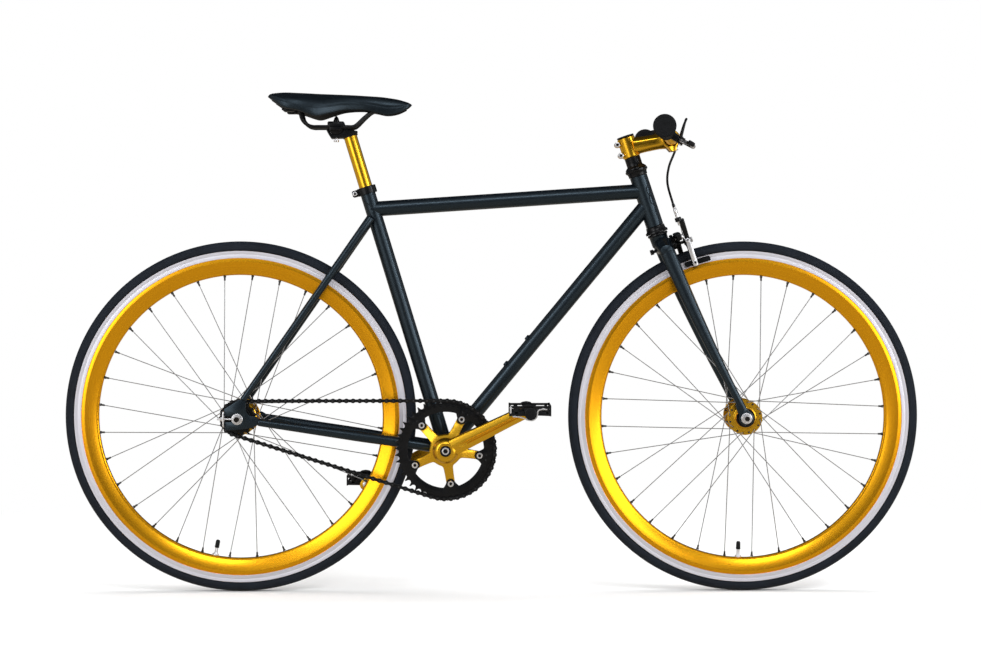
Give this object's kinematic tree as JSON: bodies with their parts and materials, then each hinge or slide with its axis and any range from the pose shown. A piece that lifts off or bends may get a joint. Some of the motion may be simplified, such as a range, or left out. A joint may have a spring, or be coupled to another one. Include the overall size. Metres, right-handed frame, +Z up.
{
  "type": "bicycle",
  "caption": "Single-speed road bicycle with a fixed rear cog, deep rims, a low riser bar, a front rim brake and a narrow saddle.",
  "frame": {"origin": "on the ground under the middle of the wheelbase, in the middle plane", "axes": "+X forward, +Y to the rider's left, +Z up"},
  "size_m": [1.626, 0.423, 0.9484],
  "materials": {
    "frame_paint": "satin charcoal enamel",
    "polished_gold": "polished gold anodised",
    "hub_gold": "orange gold anodised",
    "rim_gold": "satin gold anodised",
    "tyre_rubber": "matt black",
    "soft_rubber": "matt black",
    "saddle_cover": "semi-gloss black",
    "black_plastic": "matt black",
    "chain_steel": "blackened",
    "black_metal": "black anodised",
    "bright_metal": "silver"
  },
  "bodies": {
    "frame": {"head_tube": "frame_paint", "top_tube": "frame_paint", "down_tube": "frame_paint", "seat_tube": "frame_paint", "bottom_bracket_shell": "frame_paint", "chain_stay_right": "frame_paint", "chain_stay_left": "frame_paint", "seat_stay_right": "frame_paint", "seat_stay_left": "frame_paint", "seat_stay_bridge": "frame_paint", "seat_clamp": "black_metal", "headset_upper_cup": "black_metal", "headset_lower_cup": "black_metal", "bottom_bracket_cartridge": "bright_metal", "rear_axle": "bright_metal", "chain_tensioner_right": "bright_metal", "chain_tensioner_left": "bright_metal", "chain": "chain_steel"},
    "fork_and_bars": {"fork_crown": "frame_paint", "fork_blade_right": "frame_paint", "fork_blade_left": "frame_paint", "headset_spacer": "black_metal", "stem": "polished_gold", "stem_faceplate": "polished_gold", "stem_top_cap": "black_metal", "handlebar": "polished_gold", "grip_right": "soft_rubber", "grip_left": "soft_rubber", "brake_lever_bracket": "black_metal", "brake_cable_housing": "black_plastic", "caliper_bolt": "bright_metal", "front_axle": "bright_metal"},
    "brake_lever": {"brake_lever": "black_metal"},
    "caliper_right": {"caliper_arm_right": "bright_metal", "brake_pad_right": "soft_rubber"},
    "caliper_left": {"caliper_arm_left": "bright_metal", "brake_pad_left": "soft_rubber", "brake_inner_cable": "bright_metal"},
    "front_wheel": {"front_hub": "hub_gold", "front_rim": "rim_gold", "front_tyre": "tyre_rubber"},
    "rear_wheel": {"rear_hub": "hub_gold", "rear_rim": "rim_gold", "rear_tyre": "tyre_rubber", "rear_cog": "chain_steel"},
    "cranks": {"crank_right": "polished_gold", "crank_left": "polished_gold", "chainring": "black_metal", "crank_spindle": "bright_metal", "pedal_spindle_right": "bright_metal", "pedal_spindle_left": "bright_metal"},
    "pedal_right": {"pedal_right": "black_plastic"},
    "pedal_left": {"pedal_left": "black_plastic"},
    "seatpost": {"seatpost": "polished_gold", "seatpost_head": "black_metal"},
    "saddle_clamp": {"saddle_clamp_cradle": "black_metal", "saddle_clamp_top": "black_metal"},
    "saddle": {"saddle_rails": "black_metal", "saddle_base": "black_plastic", "saddle_pad": "saddle_cover"}
  },
  "joints": [
    {"name": "steering", "type": "hinge", "parent": "frame", "child": "fork_and_bars", "pos_m": [0.43633, 0, 0.31972], "axis": [-0.3173, 0, 0.9483], "range_deg": [-90, 90]},
    {"name": "front_wheel_spin", "type": "hinge", "parent": "fork_and_bars", "child": "front_wheel", "pos_m": [0.479, 0, 0.334], "axis": [0, 1, 0], "continuous": true},
    {"name": "rear_wheel_spin", "type": "hinge", "parent": "frame", "child": "rear_wheel", "pos_m": [-0.479, 0, 0.334], "axis": [0, 1, 0], "continuous": true, "deforming": ["chain"]},
    {"name": "crank_spin", "type": "hinge", "parent": "frame", "child": "cranks", "pos_m": [-0.08819, 0, 0.274], "axis": [0, 1, 0], "continuous": true},
    {"name": "pedal_right_spin", "type": "hinge", "parent": "cranks", "child": "pedal_right", "pos_m": [0.06856, -0.13, 0.35181], "axis": [0, 1, 0], "continuous": true},
    {"name": "pedal_left_spin", "type": "hinge", "parent": "cranks", "child": "pedal_left", "pos_m": [-0.24494, 0.13, 0.19619], "axis": [0, 1, 0], "continuous": true},
    {"name": "brake_lever_pull", "type": "hinge", "parent": "fork_and_bars", "child": "brake_lever", "pos_m": [0.35241, -0.07754, 0.85393], "axis": [-0.5292, 0.0506, -0.847], "range_deg": [0, 13], "stiffness_Nm_per_rad": 2, "springref_deg": -14.32},
    {"name": "caliper_right_turn", "type": "hinge", "parent": "fork_and_bars", "child": "caliper_right", "pos_m": [0.32463, 0, 0.65353], "axis": [0.9483, 0, 0.3173], "range_deg": [0, 2.1]},
    {"name": "caliper_left_turn", "type": "hinge", "parent": "fork_and_bars", "child": "caliper_left", "pos_m": [0.32035, 0.023, 0.66633], "axis": [0.9483, 0, 0.3173], "range_deg": [-1.6, 0], "deforming": ["brake_inner_cable"]},
    {"name": "seatpost_slide", "type": "slide", "parent": "frame", "child": "seatpost", "axis": [-0.2924, 0, 0.9563], "range_m": [-0.08, 0.06]},
    {"name": "saddle_tilt", "type": "hinge", "parent": "seatpost", "child": "saddle_clamp", "pos_m": [-0.29596, 0, 0.88391], "axis": [0, 1, 0], "range_deg": [-10, 10]},
    {"name": "saddle_fore_aft", "type": "slide", "parent": "saddle_clamp", "child": "saddle", "axis": [1, 0, 0], "range_m": [-0.015, 0.015]}
  ],
  "couplings": [
    {"joint": "crank_spin", "follows": "rear_wheel_spin", "ratio": 0.34783},
    {"joint": "caliper_right_turn", "follows": "brake_lever_pull", "ratio": 0.1615},
    {"joint": "caliper_left_turn", "follows": "brake_lever_pull", "ratio": -0.123}
  ]
}
